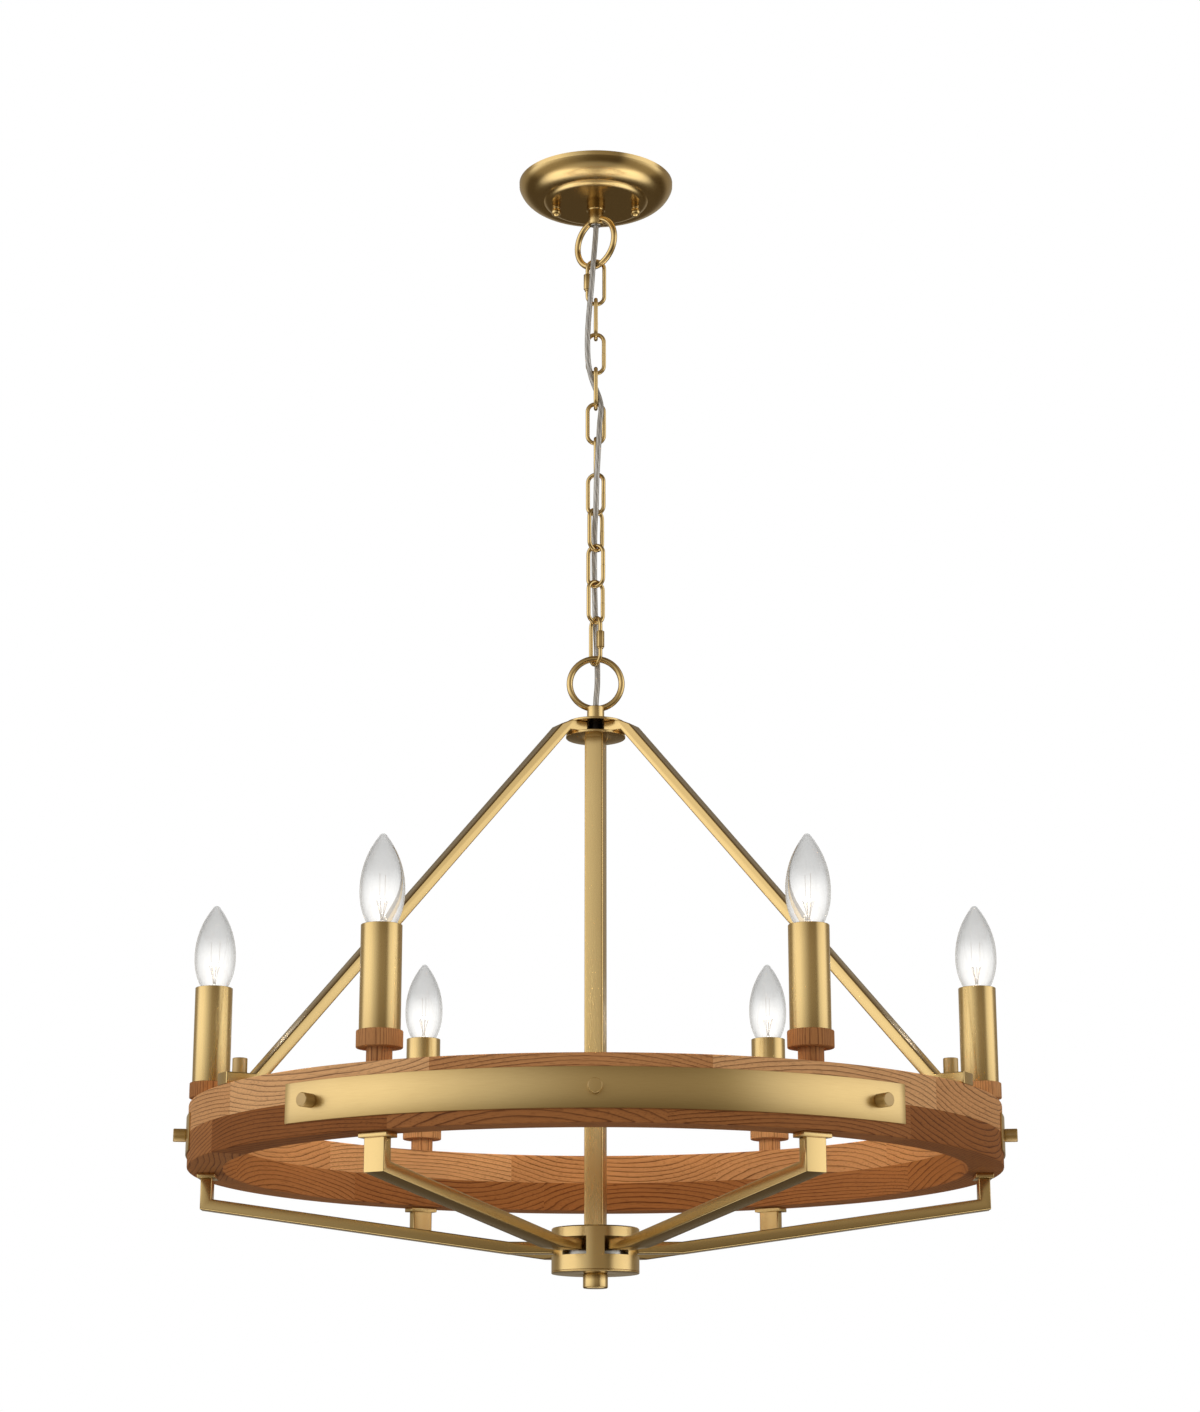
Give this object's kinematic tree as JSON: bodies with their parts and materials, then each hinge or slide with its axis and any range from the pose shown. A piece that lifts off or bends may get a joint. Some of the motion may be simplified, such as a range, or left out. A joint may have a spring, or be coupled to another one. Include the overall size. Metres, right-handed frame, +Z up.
{
  "type": "wagon wheel chandelier",
  "caption": "Round stained wood rim on three sloping brass arms, with candle lights on curved-up ends, hung by a chain from a ceiling canopy.",
  "frame": {"origin": "centre of the ceiling plane, in the middle of the crossbar's two box screw slots, at the crossbar's and the canopy's top faces", "axes": "+Z up to the ceiling, +X to the right of the pictured view, -Y towards the viewer; the fixture hangs down to negative Z"},
  "size_m": [0.7028, 0.698, 1.0069],
  "materials": {
    "satin_brass": "satin, brushed",
    "stained_wood": "stained, open grain, matte",
    "clear_cord": "clear silver, soft gloss",
    "bulb_glass": "clear",
    "black_metal": "satin black",
    "zinc_steel": "zinc plated",
    "socket_plastic": "matte, cream"
  },
  "bodies": {
    "ceiling_group": {"ceiling_crossbar": "zinc_steel", "canopy_studs": "zinc_steel", "canopy": "satin_brass", "canopy_ball_nuts": "satin_brass", "canopy_stem": "zinc_steel", "canopy_lock_nut": "zinc_steel", "canopy_ring_nut": "satin_brass", "canopy_loop": "satin_brass", "cord": "clear_cord"},
    "upper_quick_link_body": {"upper_quick_link": "satin_brass"},
    "chain_link_1_body": {"chain_link_1": "satin_brass"},
    "chain_link_2_body": {"chain_link_2": "satin_brass"},
    "chain_link_3_body": {"chain_link_3": "satin_brass"},
    "chain_link_4_body": {"chain_link_4": "satin_brass"},
    "chain_link_5_body": {"chain_link_5": "satin_brass"},
    "chain_link_6_body": {"chain_link_6": "satin_brass"},
    "chain_link_7_body": {"chain_link_7": "satin_brass"},
    "chain_link_8_body": {"chain_link_8": "satin_brass"},
    "chain_link_9_body": {"chain_link_9": "satin_brass"},
    "lower_quick_link_body": {"lower_quick_link": "satin_brass"},
    "upper_quick_link_nut_body": {"upper_quick_link_nut": "satin_brass"},
    "lower_quick_link_nut_body": {"lower_quick_link_nut": "satin_brass"},
    "bulb_1_body": {"bulb_1": "bulb_glass"},
    "bulb_2_body": {"bulb_2": "bulb_glass"},
    "bulb_3_body": {"bulb_3": "bulb_glass"},
    "bulb_4_body": {"bulb_4": "bulb_glass"},
    "bulb_5_body": {"bulb_5": "bulb_glass"},
    "bulb_6_body": {"bulb_6": "bulb_glass"},
    "light_frame": {"arm_knobs": "satin_brass", "arm_plates": "satin_brass", "arm_screws": "zinc_steel", "band_knobs": "satin_brass", "brass_bands": "satin_brass", "candle_cups": "stained_wood", "candle_sleeves": "satin_brass", "candle_sockets": "socket_plastic", "candle_stems": "zinc_steel", "centre_post": "satin_brass", "finial": "satin_brass", "hub_bottom_disc": "satin_brass", "hub_cover": "satin_brass", "hub_loop": "satin_brass", "hub_spacer": "black_metal", "hub_top_disc": "satin_brass", "lower_arm_1": "satin_brass", "lower_arm_2": "satin_brass", "lower_arm_3": "satin_brass", "lower_arm_4": "satin_brass", "lower_arm_5": "satin_brass", "lower_arm_6": "satin_brass", "lower_hub": "satin_brass", "rim_lower_course": "stained_wood", "rim_upper_course": "stained_wood", "socket_brackets": "zinc_steel", "spider_plate": "zinc_steel", "stem_tube": "zinc_steel", "upper_arm_1": "satin_brass", "upper_arm_2": "satin_brass", "upper_arm_3": "satin_brass"}
  },
  "joints": [
    {"name": "chain_swing_1", "type": "hinge", "parent": "ceiling_group", "child": "upper_quick_link_body", "pos_m": [0, 0, -0.0822], "axis": [0.7314, -0.682, 0], "range_deg": [-12, 12], "deforming": ["cord"]},
    {"name": "chain_swing_2", "type": "hinge", "parent": "upper_quick_link_body", "child": "chain_link_1_body", "pos_m": [0, 0, -0.12], "axis": [0.9945, 0.1045, 0], "range_deg": [-12, 12], "deforming": ["cord"]},
    {"name": "chain_swing_3", "type": "hinge", "parent": "chain_link_1_body", "child": "chain_link_2_body", "pos_m": [0, 0, -0.15385], "axis": [0, 1, 0], "range_deg": [-12, 12], "deforming": ["cord"]},
    {"name": "chain_swing_4", "type": "hinge", "parent": "chain_link_2_body", "child": "chain_link_3_body", "pos_m": [0, 0, -0.18765], "axis": [1, 0, 0], "range_deg": [-12, 12], "deforming": ["cord"]},
    {"name": "chain_swing_5", "type": "hinge", "parent": "chain_link_3_body", "child": "chain_link_4_body", "pos_m": [0, 0, -0.22145], "axis": [0, 1, 0], "range_deg": [-12, 12], "deforming": ["cord"]},
    {"name": "chain_swing_6", "type": "hinge", "parent": "chain_link_4_body", "child": "chain_link_5_body", "pos_m": [0, 0, -0.25525], "axis": [1, 0, 0], "range_deg": [-12, 12], "deforming": ["cord"]},
    {"name": "chain_swing_7", "type": "hinge", "parent": "chain_link_5_body", "child": "chain_link_6_body", "pos_m": [0, 0, -0.28905], "axis": [0, 1, 0], "range_deg": [-12, 12], "deforming": ["cord"]},
    {"name": "chain_swing_8", "type": "hinge", "parent": "chain_link_6_body", "child": "chain_link_7_body", "pos_m": [0, 0, -0.32285], "axis": [0.9511, -0.309, 0], "range_deg": [-12, 12], "deforming": ["cord"]},
    {"name": "chain_swing_9", "type": "hinge", "parent": "chain_link_7_body", "child": "chain_link_8_body", "pos_m": [0, 0, -0.35665], "axis": [0.766, 0.6428, 0], "range_deg": [-12, 12], "deforming": ["cord"]},
    {"name": "chain_swing_10", "type": "hinge", "parent": "chain_link_8_body", "child": "chain_link_9_body", "pos_m": [0, 0, -0.39045], "axis": [0.8988, -0.4384, 0], "range_deg": [-12, 12], "deforming": ["cord"]},
    {"name": "chain_swing_11", "type": "hinge", "parent": "chain_link_9_body", "child": "lower_quick_link_body", "pos_m": [0, 0, -0.42425], "axis": [0.8572, 0.515, 0], "range_deg": [-12, 12], "deforming": ["cord"]},
    {"name": "chain_swing_12", "type": "hinge", "parent": "lower_quick_link_body", "child": "light_frame", "pos_m": [0, 0, -0.463], "axis": [0.5446, -0.8387, 0], "range_deg": [-12, 12], "deforming": ["cord"]},
    {"name": "upper_nut_slide", "type": "slide", "parent": "upper_quick_link_body", "child": "upper_quick_link_nut_body", "axis": [0, 0, 1], "range_m": [0, 0.006]},
    {"name": "lower_nut_slide", "type": "slide", "parent": "lower_quick_link_body", "child": "lower_quick_link_nut_body", "axis": [0, 0, 1], "range_m": [0, 0.006]},
    {"name": "bulb_1_turn", "type": "hinge", "parent": "light_frame", "child": "bulb_1_body", "pos_m": [0.328, 0, -0.7609], "axis": [0, 0, 1], "range_deg": [0, 720]},
    {"name": "bulb_2_turn", "type": "hinge", "parent": "light_frame", "child": "bulb_2_body", "pos_m": [0.164, 0.28406, -0.7609], "axis": [0, 0, 1], "range_deg": [0, 720]},
    {"name": "bulb_3_turn", "type": "hinge", "parent": "light_frame", "child": "bulb_3_body", "pos_m": [-0.164, 0.28406, -0.7609], "axis": [0, 0, 1], "range_deg": [0, 720]},
    {"name": "bulb_4_turn", "type": "hinge", "parent": "light_frame", "child": "bulb_4_body", "pos_m": [-0.328, 0, -0.7609], "axis": [0, 0, 1], "range_deg": [0, 720]},
    {"name": "bulb_5_turn", "type": "hinge", "parent": "light_frame", "child": "bulb_5_body", "pos_m": [-0.164, -0.28406, -0.7609], "axis": [0, 0, 1], "range_deg": [0, 720]},
    {"name": "bulb_6_turn", "type": "hinge", "parent": "light_frame", "child": "bulb_6_body", "pos_m": [0.164, -0.28406, -0.7609], "axis": [0, 0, 1], "range_deg": [0, 720]}
  ]
}
